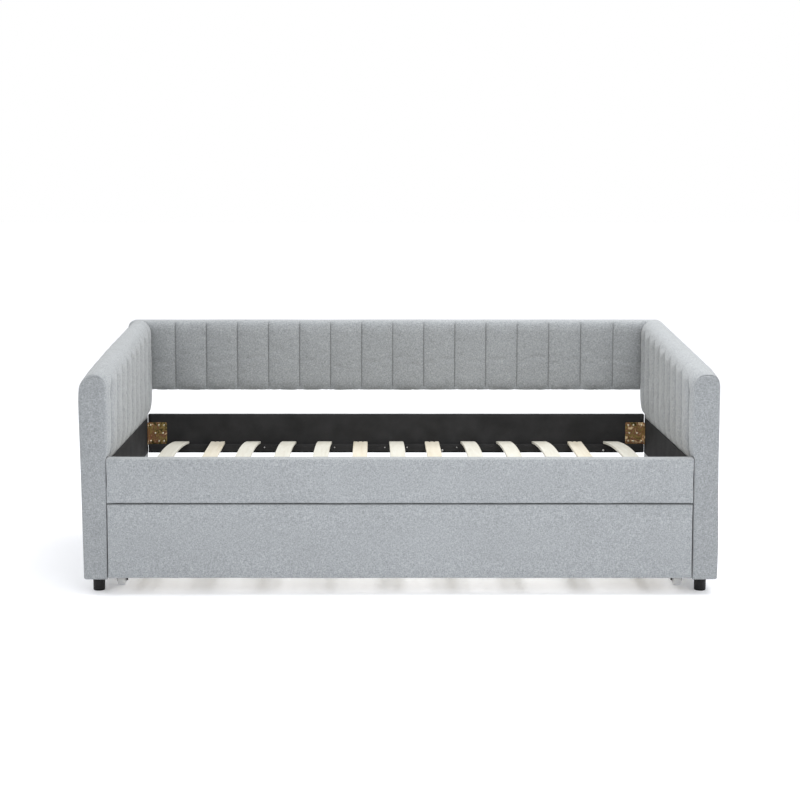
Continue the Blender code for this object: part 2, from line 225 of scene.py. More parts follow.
def woven_fabric(name):
    """A plain weave of slubby yarn: stretched grain along each axis over a fine grid of threads."""
    s = Surface(name, 0.9, Sheen_Weight=0.22, Sheen_Roughness=0.55, Specular_IOR_Level=0.18)
    long, short = THREAD_SCALE * 0.32, THREAD_SCALE
    grains = [s.noise((long, short, short), 3.0, 0.6), s.noise((short, long, short), 3.0, 0.6),
              s.noise((short, short, long), 3.0, 0.6)]
    yarn = s.math("MULTIPLY", s.math("ADD", s.math("ADD", grains[0], grains[1]), grains[2]), 1 / 3)
    parts = s.node("SeparateXYZ")
    s.link(s.place, parts.inputs[0])
    waves = [s.math("SINE", s.math("MULTIPLY", parts.outputs[i], 2 * math.pi / WEAVE_PERIOD))
             for i in range(3)]
    grid = s.math("ADD", s.math("MULTIPLY", waves[0], waves[1]), s.math("MULTIPLY", waves[1], waves[2]))
    grid = s.math("ADD", grid, s.math("MULTIPLY", waves[0], waves[2]))
    contrast = s.spread(yarn, -0.6, 1.6)
    colour = s.ramp(contrast, (0.0, FABRIC_DARK), (1.0, FABRIC_LIGHT))
    broad = s.spread(s.noise((5.0, 5.0, 5.0), 2.0), 0.965, 1.035)
    tuft = s.spread(s.noise((110.0, 110.0, 110.0), 3.0), 0.93, 1.07)
    # Painted shade: the point attribute read here darkens the cloth in seams, creases, over the arms' front
    # facings and towards the back panel's ends and bottom.
    seam_and_shade = s.node("Attribute", attribute_name="seam_and_shade").outputs["Fac"]
    depth = s.math("SUBTRACT", 1.0, s.math("MULTIPLY", seam_and_shade, PAINTED_SEAM_SHADE))
    colour = s.shade(s.shade(colour, s.math("MULTIPLY", broad, tuft)), depth)
    height = s.math("ADD", s.math("MULTIPLY", grid, 0.22), yarn)
    return s.finish(colour, height, 0.45, 0.0011, s.spread(yarn, 0.98, 0.82))


def nonwoven_lining(name):
    """Thin black non-woven cloth: short pressed fibres and a faint dimple grid."""
    s = Surface(name, 0.85, Specular_IOR_Level=0.06)
    fibres = s.noise((700.0, 160.0, 400.0), 4.0, 0.65)
    cloud = s.noise((14.0, 14.0, 14.0), 2.0)
    colour = s.ramp(s.math("MULTIPLY", s.math("ADD", fibres, cloud), 0.5),
                    (0.30, (0.018, 0.018, 0.0185)), (0.75, (0.041, 0.041, 0.0425)))
    return s.finish(colour, fibres, 0.35, 0.0006, s.spread(fibres, 0.9, 0.7))


def timber(name, stops, along, fine, ring_scale, roughness):
    """Planed timber: long grain along one axis, growth bands and fine pores."""
    s = Surface(name, roughness, Specular_IOR_Level=0.35)

    def scaled(long, short):
        return tuple(long if axis == along else short for axis in range(3))

    bands = s.noise(scaled(ring_scale * 0.06, ring_scale), 3.0, 0.55, 0.6)
    pores = s.noise(scaled(fine * 0.03, fine), 4.0, 0.7)
    mix = s.math("ADD", s.math("MULTIPLY", bands, 0.7), s.math("MULTIPLY", pores, 0.3))
    colour = s.ramp(mix, *stops)
    worn = s.spread(s.noise((9.0, 9.0, 9.0), 2.0), 0.95, 1.04)
    return s.finish(s.shade(colour, worn), pores, 0.18, 0.0006,
                    s.spread(pores, roughness + 0.12, roughness - 0.08))


def passivated_plate(name):
    """Pressed steel with a yellow passivate that drifts from olive to copper."""
    s = Surface(name, 0.38, metallic=0.8)
    drift = s.noise((46.0, 46.0, 46.0), 2.0, 0.6, 0.8)
    colour = s.ramp(drift, *PASSIVATE_TONES)
    scuffs = s.noise((420.0, 420.0, 90.0), 3.0, 0.6)
    return s.finish(s.shade(colour, s.spread(scuffs, 0.8, 1.2)), scuffs, 0.2, 0.0004,
                    s.spread(scuffs, 0.30, 0.55))


def plated_steel(name, tone, roughness):
    s = Surface(name, roughness, metallic=1.0)
    spangle = s.noise((260.0, 260.0, 260.0), 3.0, 0.6)
    low = tuple(0.75 * value for value in tone)
    colour = s.ramp(spangle, (0.3, low), (0.7, tone))
    return s.finish(colour, spangle, 0.12, 0.0003, s.spread(spangle, roughness - 0.08, roughness + 0.14))


def moulded_plastic(name, tone, roughness, **fixed):
    s = Surface(name, roughness, **fixed)
    grain = s.noise((900.0, 900.0, 900.0), 3.0, 0.6)
    haze = s.noise((45.0, 45.0, 45.0), 2.0)
    high = tuple(min(1.0, 1.25 * value + 0.004) for value in tone)
    colour = s.ramp(s.math("MULTIPLY", s.math("ADD", grain, haze), 0.5), (0.35, tone), (0.7, high))
    return s.finish(colour, grain, 0.2, 0.0003, s.spread(haze, roughness - 0.06, roughness + 0.1))


def make_materials():
    """Every finish by name; bare boards have one for each axis that their grain may follow."""
    boards = [timber(f"pine_board_{label}", BOARD_TONES, axis, 700.0, 38.0, 0.55)
              for axis, label in enumerate("xy")]
    return {
        "upholstery": woven_fabric("grey_upholstery"), "lining": nonwoven_lining("black_lining"),
        "veneer": timber("slat_veneer", VENEER_TONES, 1, 900.0, 70.0, 0.46),
        "solid": timber("slat_solid", SOLID_TONES, 1, 900.0, 55.0, 0.5),
        "boards": boards,
        "bronze": passivated_plate("bronze_plate"),
        "screws": plated_steel("yellow_screws", (0.86, 0.80, 0.62), 0.25),
        "zinc": plated_steel("zinc_steel", (0.60, 0.60, 0.61), 0.34),
        "black": moulded_plastic("black_plastic", (0.005, 0.005, 0.0055), 0.5, Specular_IOR_Level=0.25),
        "clear": moulded_plastic("clear_plastic", (0.78, 0.79, 0.80), 0.3, Transmission_Weight=0.2, IOR=1.46),
    }


# ---- mesh tools

def make_piece(name, points, faces, finish, slot, body="bed", replaces=(), fill=None, seam_and_shade=None):
    """One visible piece from its points and faces, riding on a CAD body."""
    mesh = bpy.data.meshes.new(name)
    mesh.from_pydata([tuple(map(float, point)) for point in points], [],
                     [tuple(map(int, face)) for face in faces])
    mesh.validate()
    solid = bmesh.new()
    solid.from_mesh(mesh)
    bmesh.ops.recalc_face_normals(solid, faces=solid.faces)
    solid.to_mesh(mesh)
    solid.free()
    mesh.shade_smooth()
    mesh.materials.append(finish)
    # Per-point painted shade, kept as an attribute that darkens the fabric.
    if seam_and_shade is not None:
        shade = mesh.attributes.new("seam_and_shade", "FLOAT", "POINT")
        shade.data.foreach_set("value", np.asarray(seam_and_shade, np.float32).ravel())
    piece = bpy.data.objects.new(name, mesh)
    scene.collection.objects.link(piece)
    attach(piece, body)
    if replaces:
        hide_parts(*replaces)
    return piece


def skin(rings, columns=1, crown=0.0):
    """Points and faces of a closed skin through equal rings.

    Each end is closed across the ring, from one half to the other, so a ring starts at
    the middle of its underside and its halves hold the same number of points. The first
    end may be divided into columns and crowned outwards along the axis of the rings.
    """
    count, around = rings.shape[:2]
    index = np.arange(count * around).reshape(count, around)
    after = np.roll(index, -1, axis=1)
    faces = np.stack([index[:-1], after[:-1], after[1:], index[1:]], axis=-1).reshape(-1, 4).tolist()
    points = [rings.reshape(-1, 3)]
    half = around // 2
    outward = rings[0].mean(axis=0) - rings[-1].mean(axis=0)
    outward /= np.linalg.norm(outward)
    bridge = np.zeros((half + 1, columns + 1), int)
    bridge[:, 0] = index[0, :half + 1]
    bridge[:, -1] = index[0, (-np.arange(half + 1)) % around]
    total = count * around
    a, b = rings[0, 1:half], rings[0, (-np.arange(1, half)) % around]
    span = np.linalg.norm(a - b, axis=1)
    for column in range(1, columns):
        share = column / columns
        rise = crown * (4 * share * (1 - share)) ** 0.7 * np.clip(span / span.max(), 0, 1)
        points.append(a * (1 - share) + b * share + rise[:, None] * outward)
        bridge[1:half, column] = total + np.arange(half - 1)
        bridge[0, column] = index[0, 0]
        bridge[half, column] = index[0, half]
        total += half - 1
    for i in range(half):
        for j in range(columns):
            quad = [bridge[i, j], bridge[i, j + 1], bridge[i + 1, j + 1], bridge[i + 1, j]]
            if len(set(quad)) > 2:
                faces.append(list(dict.fromkeys(quad)))
    last = index[-1]
    for i in range(half):
        quad = [last[i], last[i + 1], last[(around - i - 1) % around], last[(around - i) % around]]
        faces.append(list(dict.fromkeys(quad)))
    return np.concatenate(points), faces


def ring_normals(rings):
    """Unit normals of a grid of rings, pointing away from each ring's middle."""
    around = np.roll(rings, -1, axis=1) - np.roll(rings, 1, axis=1)
    along = np.gradient(rings, axis=0)
    normals = np.cross(around, along)
    normals /= np.maximum(np.linalg.norm(normals, axis=2, keepdims=True), 1e-12)
    outward = rings - rings.mean(axis=1, keepdims=True)
    if (normals * outward).sum() < 0:
        normals = -normals
    return normals


def smooth_step(value, low, high):
    t = np.clip((value - low) / (high - low), 0.0, 1.0)
    return t * t * (3 - 2 * t)


def ripple(points, size, seed):
    """Soft pseudo-random waves from -1 to 1, the same on every run."""
    draw = np.random.default_rng(seed)
    total = np.zeros(points.shape[:-1])
    for _ in range(6):
        direction = draw.normal(size=3)
        direction /= np.linalg.norm(direction)
        wave = size * draw.uniform(0.7, 1.6)
        total += np.sin(points @ direction * 2 * math.pi / wave + draw.uniform(0, 2 * math.pi))
    return total / 6


def seam_stations(seams_and_shades, low, high):
    """Places along a cover: close together at each seam and wide apart between seams."""
    offsets = (0.0011, 0.0026, 0.0052, 0.0092, 0.0148, 0.0220, 0.0305, 0.0400, 0.0495)
    places = set()
    for seam_and_shade in seams_and_shades:
        places.add(round(seam_and_shade, 5))
        for offset in offsets:
            places.update((round(seam_and_shade - offset, 5), round(seam_and_shade + offset, 5)))
    places = sorted(place for place in places if low < place < high)
    kept = [low]
    for place in places:
        if place - kept[-1] > 0.0010:
            kept.append(place)
    kept.append(high)
    filled = [kept[0]]
    for place in kept[1:]:
        gap = place - filled[-1]
        extra = int(gap // 0.011)
        filled += [filled[-1] + gap * (i + 1) / (extra + 1) for i in range(extra)]
        filled.append(place)
    return np.array(filled)


def channel_profile(places, seams_and_shades, half_width, flatness):
    """Puff from 0 at a seam to 1 along the middle of a channel, and each place's distance to a seam."""
    distance = np.min(np.abs(places[:, None] - np.array(seams_and_shades)[None, :]), axis=1)
    share = np.clip(distance / half_width, 0.0, 1.0)
    return np.sqrt(1 - (1 - share) ** flatness), distance


FILL_FRAMES = 20
CLOTH_GROWTH = 0.008                        # how much longer the cloth is than the shape it starts from
SEWN_LEVELS = 8


def pressed_fill(piece, sewn, pressure, cap):
    """Fills a cover by cloth simulation: it swells between its seams, by no more than the cap."""
    group = piece.vertex_groups.new(name="sewn")
    held = np.round(np.clip(np.asarray(sewn).ravel(), 0, 1) * SEWN_LEVELS) / SEWN_LEVELS
    for level in np.unique(held):
        if level > 0:
            group.add(np.nonzero(held == level)[0].tolist(), float(level), "REPLACE")
    rest = np.array([vertex.co for vertex in piece.data.vertices])
    cloth = piece.modifiers.new("fill", "CLOTH")
    settings = cloth.settings
    settings.quality = 4
    settings.mass = 0.25
    settings.air_damping = 2.0
    settings.tension_stiffness = settings.compression_stiffness = 18.0
    settings.shear_stiffness = 8.0
    settings.bending_stiffness = 0.6
    settings.vertex_group_mass = "sewn"
    settings.use_pressure = True
    settings.uniform_pressure_force = pressure
    settings.shrink_min = -CLOTH_GROWTH
    settings.effector_weights.gravity = 0.0
    cloth.collision_settings.use_collision = False
    cloth.point_cache.frame_start = 1
    cloth.point_cache.frame_end = FILL_FRAMES
    for number in range(1, FILL_FRAMES + 1):
        scene.frame_set(number)
    evaluated = piece.evaluated_get(bpy.context.evaluated_depsgraph_get())
    filled = np.array([vertex.co for vertex in evaluated.data.vertices])
    piece.modifiers.remove(cloth)
    piece.vertex_groups.remove(group)
    scene.frame_set(1)
    moved = filled - rest
    length = np.linalg.norm(moved, axis=1, keepdims=True)
    moved *= np.minimum(1.0, cap / np.maximum(length, 1e-9))
    piece.data.vertices.foreach_set("co", (rest + moved).astype(np.float32).ravel())
    piece.data.update()


# ---- arms

ARM_LOW, ARM_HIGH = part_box("right_arm_upholstery")
ARM_DEPTH = ARM_HIGH.y - FRONT_Y
ARM_BOTTOM = ARM_LOW.z
# Heights and reaches of the outer side: each cover is pulled over by hand, so the two differ a little
ARM_OUTER = {-1: ((ARM_BOTTOM, 0.48, 0.60, 0.65, 0.675, 0.695),
                  (1.0435, 1.0503, 1.0522, 1.0526, 1.0514, 1.0490)),
             1: ((ARM_BOTTOM, 0.17, 0.30, 0.44), (1.0480, 1.0500, 1.0475, 1.0458))}
ARM_LEAN = {-1: 0.007, 1: 0.0}              # how far the rear end's top leans in
# Squareness outside the crest at the front, half way and at the rear
ARM_SHOULDER = {-1: (1.74, 2.10, 1.80), 1: (2.9, 2.62, 2.36)}
ARM_INNER = (0.9660, 0.9645)                # at the bottom and at the pad's lower seam
PAD_BULGE = ARM_INNER[1] - ARM_LOW.x
PAD_SEAM_Z = 0.447
PAD_FULL_Z = 0.57
ARM_FOOT_ROUND = (0.002, 0.008)              # inner and outer bottom corner
CREST_RISE = 0.0725
ARM_SEAMS = [0.071 + 0.116 * k for k in range(9)]
ARM_CHANNEL = 0.058
CHANNEL_DRAW = 0.0210                        # how far the seams draw the cover in
FACING_DEPTH = 0.017                         # where the facing ends and the arm's body begins
ARCH_SEAM_END = {-1: (0.712, 0.728), 1: (0.690, 0.715)}    # where the facing's seam runs out, outside
# Painted shade over the arms' front facings
FACING_SHADE = 0.26
CHANNEL_SEAM_SHADE = {-1: 1.75, 1: 2.1}            # painted shade along the channels' seams, for each arm
FACING_SEAM_SHADE = {-1: 0.45, 1: 0.60}            # painted shade along the facing's seam, for each arm


def crest(depth):
    return 0.7305 + 0.012 * (1 - np.exp(-depth / 0.04)) + CREST_RISE * depth


def arm_section(side, depth):
    """Reach and height around the arm at this depth, how far along the padded side each
    point is, and the height of the pad's lower seam."""
    back = depth / ARM_DEPTH
    top = crest(depth)
    arch = 0.052 + 0.008 * back
    spring = top - arch
    bulge = PAD_BULGE * (1 - math.exp(-max(depth, 0.0) / 0.025))
    near_rail = math.exp(-((depth - 0.02) / 0.035) ** 2) + math.exp(-((depth - 1.055) / 0.035) ** 2)
    seam_z = PAD_SEAM_Z + 0.0115 * min(1.0, near_rail)
    side_z = np.concatenate([np.linspace(ARM_BOTTOM + ARM_FOOT_ROUND[1], seam_z, 23)[:-1],
                             seam_z + (spring - seam_z) * np.linspace(0, 1, 37) ** 1.15])
    outer = np.interp(side_z, *ARM_OUTER[side]) - ARM_LEAN[side] * back * smooth_step(side_z, 0.60, spring)
    roll = np.clip((PAD_FULL_Z - side_z) / (PAD_FULL_Z - seam_z), 0.0, 1.0)
    inner = np.where(side_z < seam_z, np.interp(side_z, [ARM_BOTTOM, seam_z], ARM_INNER),
                     ARM_INNER[1] - bulge * np.sqrt(1 - roll ** 3.0))
    turn = np.linspace(0, math.pi, 31)[1:-1]
    left, right = inner[-1], outer[-1]
    power = 2 / np.where(turn < math.pi / 2, np.interp(back, (0, 0.5, 1), ARM_SHOULDER[side]), 2.25)
    round_u = (left + right) / 2 + (right - left) / 2 * np.sign(np.cos(turn)) * np.abs(np.cos(turn)) ** power
    round_z = spring + arch * np.sin(turn) ** power
    foot_outer = outer[0]
    middle = (ARM_INNER[0] + foot_outer) / 2
    corner = np.linspace(0, math.pi / 2, 6)[:-1]
    round_in, round_out = ARM_FOOT_ROUND
    base = np.linspace(middle, foot_outer - round_out, 6)[:-1]
    base_back = np.linspace(middle, ARM_INNER[0] + round_in, 6)[1:-1][::-1]
    corner_out = foot_outer - round_out * (1 - np.sin(corner))
    corner_in = ARM_INNER[0] + round_in * (1 - np.sin(corner))
    reach = np.concatenate([base, corner_out, outer, round_u, inner[::-1], corner_in[::-1], base_back])
    height = np.concatenate([np.full(5, ARM_BOTTOM), ARM_BOTTOM + round_out * (1 - np.cos(corner)), side_z,
                             round_z, side_z[::-1], ARM_BOTTOM + round_in * (1 - np.cos(corner[::-1])),
                             np.full(4, ARM_BOTTOM)])
    over = 0.05 * smooth_step(turn, 0.2, 0.8) + 0.95 * smooth_step(top - round_z, 0.020, 0.085) * (turn > 1.6)
    below = 0.05 + 0.95 * smooth_step(top - side_z[::-1], 0.020, 0.085)
    over = np.concatenate([np.zeros(10 + len(side_z)), over,
                           np.where(side_z[::-1] > seam_z, below, 0.0), np.zeros(9)])
    return reach, height, over, seam_z


def outset(across, height, distance):
    """A closed outline moved outwards by a distance, which may differ from point to point."""
    du = np.roll(across, -1) - np.roll(across, 1)
    dz = np.roll(height, -1) - np.roll(height, 1)
    length = np.maximum(np.hypot(du, dz), 1e-9)
    area = np.sum(across * np.roll(height, -1) - np.roll(across, -1) * height)
    distance = distance * np.sign(area)
    return across + distance * dz / length, height - distance * du / length


def arm_facing(side):
    """Rings from the front facing's edge, through its seam, to the start of the arm's body.

    The seam shows round the arch and down the inner side; elsewhere the cover just turns
    the corner. It is sewn lower on the left arm than on the right.
    """
    front_reach, front_height, _, _ = arm_section(side, 0.013)
    arch = np.where(front_reach > 1.0, smooth_step(front_height, *ARCH_SEAM_END[side]),
                    smooth_step(front_height, 0.690, 0.735))
    inner_side = smooth_step(-front_reach, -0.985, -0.972) * smooth_step(front_height, 0.3, 0.5)
    sewn = np.maximum(arch, 0.05 * inner_side)
    corner = np.where(front_reach < 1.0, 1 - 0.45 * smooth_step(-front_height, -0.50, -0.45), 1.0)
    drop = 0.0045 + (0.0060 if side < 0 else 0.0) * smooth_step(front_height, 0.66, 0.73)
    # Rings as (depth, extra inset, share of the seam's drop, painted seam shade)
    sewn_rings = [(0.0006, 0.0036, 1.0, 0), (0.0012, 0.0017, 1.0, 0), (0.0025, 0.0006, 1.0, 0.3),
                  (0.0042, 0.0, 1.0, 1.0), (0.0040, 0.0, 0.80, 0.8), (0.0036, 0.0, 0.52, 0.1),
                  (0.0050, 0.0, 0.24, 0), (0.0082, 0.0, 0.07, 0), (0.0130, 0.0, 0.0, 0)]
    plain_rings = [(0.0006, 0.0060), (0.0011, 0.0046), (0.0018, 0.0034), (0.0025, 0.0025), (0.0033, 0.0018),
                   (0.0043, 0.0012), (0.0058, 0.0007), (0.0085, 0.0002), (0.0130, 0.0)]
    # The inner corner runs on into the pad's swelling instead of creasing against it
    eased = 0.75 * smooth_step(-front_reach, -0.992, -0.975) * (1 - arch)
    rings = []
    for (depth, more, share, painted_dark), (plain_depth, plain_inset) in zip(sewn_rings, plain_rings):
        inset = (drop * share + more) * sewn + plain_inset * corner * (1 - sewn) * (1 - 0.5 * eased)
        swelling = eased * (arm_section(side, plain_depth)[0] - front_reach)
        reach, height = outset(front_reach + swelling, front_height, -inset)
        # Painted shade over the facing, and along its seam round the arch.
        shade = FACING_SHADE * (1 - smooth_step(depth, 0.0, 0.007))
        rings.append(((reach, depth * sewn + plain_depth * (1 - sewn), height),
                      np.maximum(FACING_SEAM_SHADE[side] * painted_dark * sewn ** 2, shade)))
    return rings


def arm_cover(side, label, finish, seed):
    """The arm's upholstery: a channelled pad over the inner side and the top, a plain
    outer side, and a front facing sewn in behind a narrow seam."""
    stations = seam_stations(ARM_SEAMS, FACING_DEPTH, ARM_DEPTH - 0.006)
    puff, distance = channel_profile(stations, ARM_SEAMS, ARM_CHANNEL, 2.1)
    rows, seam_shade_rows, held_rows = [], [], []
    for depth, rise, gap in zip(stations, puff, distance):
        reach, height, over, seam_z = arm_section(side, depth)
        fade = over * np.clip(0.45 + (height - seam_z) / 0.07, 0.45, 1.0)
        settle = smooth_step(depth, FACING_DEPTH, 0.045)
        out = CHANNEL_DRAW * (rise - 1.0) * fade * settle
        pucker = 0.0005 * np.exp(-gap / 0.012) * np.sin(height * 2 * math.pi / 0.021 + seed) * over
        reach, height = outset(reach, height, out + pucker)
        rows.append((reach, np.full(len(reach), depth), height))
        # Painted shade along the pad's lower seam on the inner side and along each channel seam.
        roll_crease_shade = np.exp(-((height - seam_z) / 0.003) ** 2) * (reach < 0.99)
        painted_dark = CHANNEL_SEAM_SHADE[side] * over ** 1.2 * math.exp(-(gap / 0.0072) ** 2)
        seam_shade_rows.append(np.maximum(painted_dark, 0.5 * roll_crease_shade))
        held_rows.append(np.where(over > 0.05, math.exp(-(gap / 0.004) ** 2), 1.0))

    facing = arm_facing(side)
    front = [row for row, _ in facing]
    front_shade = [painted_dark for _, painted_dark in facing]

    rear_reach, rear_height, _, _ = arm_section(side, ARM_DEPTH)
    rear = []
    for depth, inset in ((ARM_DEPTH - 0.0035, 0.0009), (ARM_DEPTH - 0.0014, 0.0024), (ARM_DEPTH, 0.0055)):
        reach, height = outset(rear_reach, rear_height, -inset)
        rear.append((reach, np.full(len(reach), depth), height))

    rings = np.array([np.stack(row, axis=-1) for row in front + rows + rear])
    seam_and_shade = np.array(front_shade + seam_shade_rows + [np.zeros(rings.shape[1])] * len(rear))
    firm = [np.ones(rings.shape[1])]
    held = np.array(firm * len(front) + held_rows + firm * len(rear))
    rings += ring_normals(rings) * (0.0007 * ripple(rings, 0.16, seed))[..., None]
    points = rings.copy()
    points[..., 0] *= side
    points[..., 1] += FRONT_Y
    vertices, faces = skin(points, columns=9, crown=0.0016)
    extra = len(vertices) - seam_and_shade.size
    # The front end's extra points carry the facing's painted shade.
    piece = make_piece(f"{label}_arm_cover", vertices, faces, finish, "grey_upholstery",
                       replaces=[f"{label}_arm_upholstery"], fill=0.7,
                       seam_and_shade=np.concatenate([seam_and_shade.ravel(), np.full(extra, FACING_SHADE)]))
    pressed_fill(piece, np.concatenate([held.ravel(), np.ones(extra)]), pressure=1.0, cap=0.004)


# ---- back panel, rails and trundle front

def box_section(depth, z, radii, side_steps, tall=1.0):
    """An upright rounded rectangle: from the middle of its underside, up the front, over
    and down the rear. Its radii are (front top, front bottom, rear top, rear bottom), and
    the front top corner is so many times as tall as it is deep."""
    front, rear = depth
    low, high = z
    middle = (front + rear) / 2

    def half(edge, inward, top, bottom, tall):
        room = 0.9 * abs(middle - edge)
        top, bottom = min(top, room), min(bottom, room)
        turn = np.linspace(0, math.pi / 2, 9)
        base = np.linspace(middle, edge + inward * bottom, 4)[:-1]
        crown = np.linspace(edge + inward * top, middle, 4)[1:-1]
        rise = np.linspace(low + bottom, high - top * tall, side_steps)[1:-1]
        across = np.concatenate([base, edge + inward * bottom * (1 - np.sin(turn)), np.full(len(rise), edge),
                                 edge + inward * top * (1 - np.cos(turn)), crown])
        height = np.concatenate([np.full(3, low), low + bottom * (1 - np.cos(turn)), rise,
                                 high - top * tall * (1 - np.sin(turn)), np.full(2, high)])
        return across, height

    front_across, front_height = half(front, 1.0, radii[0], radii[1], tall)
    rear_across, rear_height = half(rear, -1.0, radii[2], radii[3], 1.0)
    across = np.concatenate([front_across, [middle], rear_across[::-1][:-1]])
    height = np.concatenate([front_height, [high], rear_height[::-1][:-1]])
    return across, height


def padded_bar(name, box, places, end_radius, radii, steps, finish, swell, seed,
               tall=1.0, under=1.0, **kwargs):
    """A padded cover that runs along X inside a box. swell(place, depth, height) gives each
    ring's outward movement, its painted shade and how firmly it is held."""
    low, high = box
    rings, seams_and_shades, held = [], [], []
    middle = (low[0] + high[0]) / 2
    half = (high[0] - low[0]) / 2
    for x in places:
        over = max(0.0, abs(x - middle) - (half - end_radius))
        shrink = end_radius - math.sqrt(max(0.0, end_radius ** 2 - over ** 2))
        depth, height = box_section((low[1] + 0.55 * shrink, high[1] - 0.15 * shrink),
                                    (low[2] + under * shrink, high[2] - shrink), radii, steps, tall)
        out, seam_and_shade, hold = swell(x, depth, height)
        depth, height = outset(depth, height, out)
        rings.append(np.stack([np.full(len(depth), x), depth, height], axis=-1))
        seams_and_shades.append(seam_and_shade)
        held.append(hold)
    rings = np.array(rings)
    rings += ring_normals(rings) * (0.0006 * ripple(rings, 0.22, seed))[..., None]
    vertices, faces = skin(rings)
    piece = make_piece(name, vertices, faces, finish, "grey_upholstery", seam_and_shade=np.array(seams_and_shades), **kwargs)
    return piece, np.array(held)


def end_stations(low, high, radius, inner):
    """Places along a bar: a quarter circle of them at each end and the given ones between."""
    turn = np.linspace(0, math.pi / 2, 8)[:-1]
    ends = radius * (1 - np.cos(turn))
    inner = inner[(inner > low + radius) & (inner < high - radius)]
    return np.concatenate([low + ends, [low + radius], inner, [high - radius], (high - ends)[::-1]])


BACK_LOW, BACK_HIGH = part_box("back_panel_upholstery")
BACK_SEAMS = [-0.0136 + 0.1202 * k + 0.0007 * max(0, k - 3) ** 2 for k in range(-8, 9)]
BACK_CHANNEL = 0.0601


def back_cover(finish):
    """The back panel's upholstery, with upright channels on its front and top. Painted shade
    darkens its seams, its ends towards the arms and its bottom edge.
    """
    front_face = BACK_LOW.y

    def swell(x, depth, height):
        profile, gap = channel_profile(np.array([x]), BACK_SEAMS, BACK_CHANNEL, 3.2)
        behind = depth - front_face
        facing = 1 - smooth_step(behind, 0.010, 0.040)
        puffed = smooth_step(height, BACK_LOW.z + 0.001, BACK_LOW.z + 0.012)
        puffed = puffed * (1 - 0.6 * smooth_step(height, BACK_HIGH.z - 0.02, BACK_HIGH.z))
        out = 0.0065 * (profile[0] - 1.0) * facing * puffed
        # Painted shade along each channel seam on the front.
        seam_and_shade = facing * math.exp(-(gap[0] / 0.0020) ** 2)
        seam_and_shade = seam_and_shade * (1 - smooth_step(height, BACK_HIGH.z - 0.022, BACK_HIGH.z - 0.002))
        # Painted shadow towards the arms, and painted shade along the bottom edge.
        painted_shade = 0.50 * math.exp(-max(0.0, ARM_LOW.x - abs(x)) / 0.030)
        painted_shade = painted_shade * (1 - smooth_step(height, 0.775, 0.812))
        painted_shade = np.maximum(painted_shade, 0.70 * (1 - smooth_step(height, BACK_LOW.z - 0.012, BACK_LOW.z + 0.050)))
        seam_and_shade = np.maximum(seam_and_shade, facing * painted_shade)
        hold = np.where(facing > 0.05, math.exp(-(gap[0] / 0.004) ** 2), 1.0)
        return out, seam_and_shade, hold

    low, high = BACK_LOW.x, BACK_HIGH.x
    places = end_stations(low, high, 0.028, seam_stations(BACK_SEAMS, low, high))
    box = ((low, BACK_LOW.y, BACK_LOW.z), (high, BACK_HIGH.y - 0.0006, BACK_HIGH.z - 0.0012))
    piece, held = padded_bar("back_panel_cover", box, places, 0.028, (0.020, 0.005, 0.006, 0.006), 36,
                             finish, swell, 21, tall=2.1, under=0.15,
                             replaces=["back_panel_upholstery"], fill=0.6)
    pressed_fill(piece, held, pressure=2.5, cap=0.003)


def rail_cover(name, node, finish, seed, body, grow):
    """A rail's cover, drawn tight over a thin pad. It grows by (left, right, down, up)."""
    low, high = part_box(node)
    left, right, down, up = grow

    def swell(x, depth, height):
        facing = 1 - smooth_step(depth - low.y, 0.004, 0.020)
        share = np.clip((height - (low.z + high.z) / 2) / (high.z - low.z), -0.5, 0.5)
        out = facing * 0.0016 * (np.cos(share * math.pi) ** 0.6 - 0.5)
        hold = np.where(facing > 0.3, 0.0, 1.0)
        return out, np.zeros(len(depth)), hold

    start, stop = low.x - left, high.x + right
    places = end_stations(start, stop, 0.004, np.linspace(start, stop, 240))
    box = ((start, low.y, low.z - down), (stop, high.y - 0.0016, high.z + up))
    steps = 24 if high.z - low.z < 0.2 else 34
    piece, held = padded_bar(name, box, places, 0.004, (0.0045, 0.0045, 0.003, 0.003), steps, finish,
                             swell, seed, body=body, replaces=[node], fill=0.8)
    pressed_fill(piece, held, pressure=1.5, cap=0.0015)


